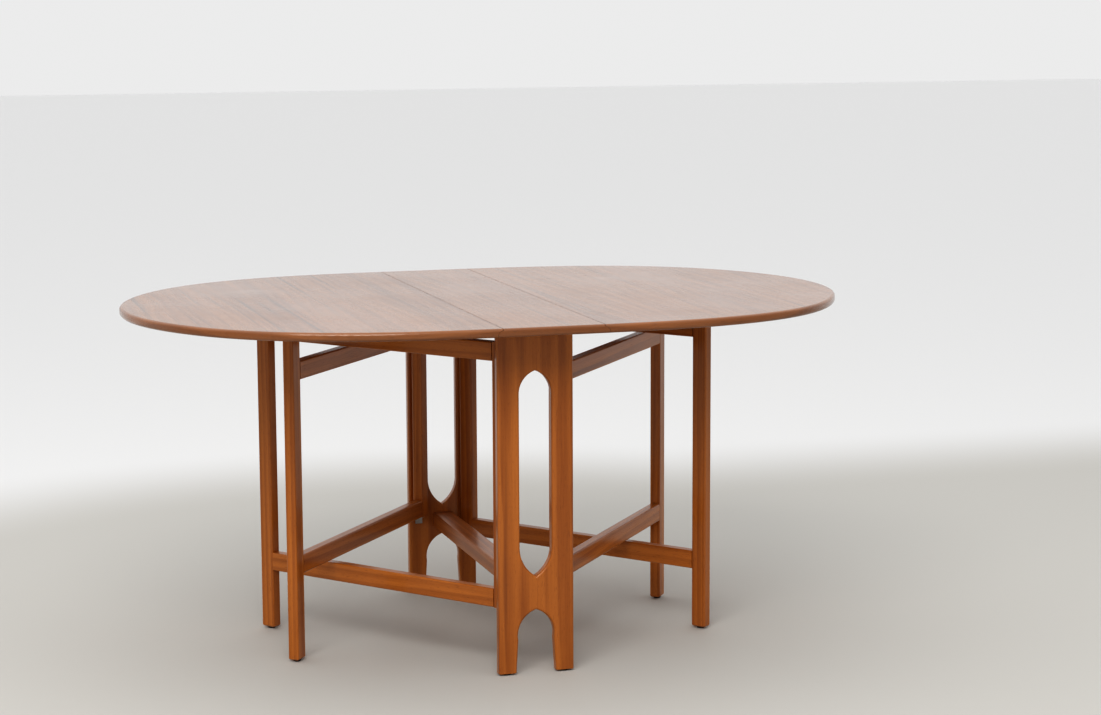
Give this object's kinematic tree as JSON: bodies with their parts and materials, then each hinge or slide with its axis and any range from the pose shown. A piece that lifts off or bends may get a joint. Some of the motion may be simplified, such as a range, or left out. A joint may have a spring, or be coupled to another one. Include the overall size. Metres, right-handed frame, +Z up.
{
  "type": "drop leaf table",
  "caption": "Free-standing oval drop leaf table: narrow centre board on two pierced end panels with low stretcher, two hinged leaves held level by crossing swing-out gate legs.",
  "frame": {"origin": "centre of the bounding box at floor level, midway between the two end panels", "axes": "+X along the long axis of the open top, +Y along the leaf seams towards the rear end panel, +Z up"},
  "size_m": [1.552, 1.0644, 0.735],
  "materials": {
    "veneered_top": "satin lacquered teak veneer, grain along the seams",
    "solid_lipping": "satin lacquered solid teak",
    "panel_wood": "satin lacquered solid teak",
    "gate_wood": "satin lacquered solid teak",
    "frame_wood": "satin lacquered solid teak",
    "dowel_wood": "plain beech, glued",
    "block_wood": "plain beech",
    "glide_plastic": "dark nail-on glide",
    "bracket_steel": "zinc plated pressed steel",
    "screw_steel": "zinc plated wood screws",
    "pin_steel": "bright steel pin",
    "hinge_brass": "brassed table hinge"
  },
  "bodies": {
    "frame": {"back_panel_left": "panel_wood", "back_panel_right": "panel_wood", "bracket_screws": "screw_steel", "centre_board": "veneered_top", "centre_lipping_back": "solid_lipping", "centre_lipping_front": "solid_lipping", "front_panel_left": "panel_wood", "front_panel_right": "panel_wood", "hinge_centre_flaps": "hinge_brass", "hinge_centre_screws": "screw_steel", "hinge_pins": "pin_steel", "low_stretcher": "frame_wood", "lower_pivot_brackets": "bracket_steel", "panel_dowels": "dowel_wood", "panel_glides": "glide_plastic", "pivot_pins": "pin_steel", "stretcher_screws": "screw_steel", "top_stretcher": "frame_wood", "upper_pivot_brackets": "bracket_steel"},
    "left_leaf": {"left_leaf_board": "veneered_top", "left_leaf_flaps": "hinge_brass", "left_leaf_lipping": "solid_lipping", "left_leaf_screws": "screw_steel", "left_leaf_stops": "block_wood"},
    "right_leaf": {"right_leaf_board": "veneered_top", "right_leaf_flaps": "hinge_brass", "right_leaf_lipping": "solid_lipping", "right_leaf_screws": "screw_steel", "right_leaf_stops": "block_wood"},
    "gate_a": {"gate_a_glide": "glide_plastic", "gate_a_leg": "gate_wood", "gate_a_low_rail": "gate_wood", "gate_a_stile": "gate_wood", "gate_a_top_rail": "gate_wood"},
    "gate_b": {"gate_b_glide": "glide_plastic", "gate_b_leg": "gate_wood", "gate_b_low_rail": "gate_wood", "gate_b_stile": "gate_wood", "gate_b_top_rail": "gate_wood"},
    "gate_c": {"gate_c_glide": "glide_plastic", "gate_c_leg": "gate_wood", "gate_c_low_rail": "gate_wood", "gate_c_stile": "gate_wood", "gate_c_top_rail": "gate_wood"},
    "gate_d": {"gate_d_glide": "glide_plastic", "gate_d_leg": "gate_wood", "gate_d_low_rail": "gate_wood", "gate_d_stile": "gate_wood", "gate_d_top_rail": "gate_wood"}
  },
  "joints": [
    {"name": "gate_a_swing", "type": "hinge", "parent": "frame", "child": "gate_a", "pos_m": [-0.058, -0.3505, 0.408], "axis": [0, 0, 1], "range_deg": [-35.7, 0]},
    {"name": "gate_b_swing", "type": "hinge", "parent": "frame", "child": "gate_b", "pos_m": [-0.058, 0.3505, 0.408], "axis": [0, 0, 1], "range_deg": [0, 35.7]},
    {"name": "gate_d_swing", "type": "hinge", "parent": "frame", "child": "gate_d", "pos_m": [0.058, 0.3505, 0.408], "axis": [0, 0, 1], "range_deg": [-35.7, 0]},
    {"name": "gate_c_swing", "type": "hinge", "parent": "frame", "child": "gate_c", "pos_m": [0.058, -0.3505, 0.408], "axis": [0, 0, 1], "range_deg": [0, 35.7]},
    {"name": "left_leaf_lift", "type": "hinge", "parent": "frame", "child": "left_leaf", "pos_m": [-0.104, 0, 0.7205], "axis": [0, 1, 0], "range_deg": [0, 2]},
    {"name": "right_leaf_lift", "type": "hinge", "parent": "frame", "child": "right_leaf", "pos_m": [0.104, 0, 0.7205], "axis": [0, -1, 0], "range_deg": [0, 2]}
  ],
  "couplings": [
    {"joint": "gate_b_swing", "follows": "gate_a_swing", "ratio": -1},
    {"joint": "gate_c_swing", "follows": "gate_d_swing", "ratio": -1}
  ]
}
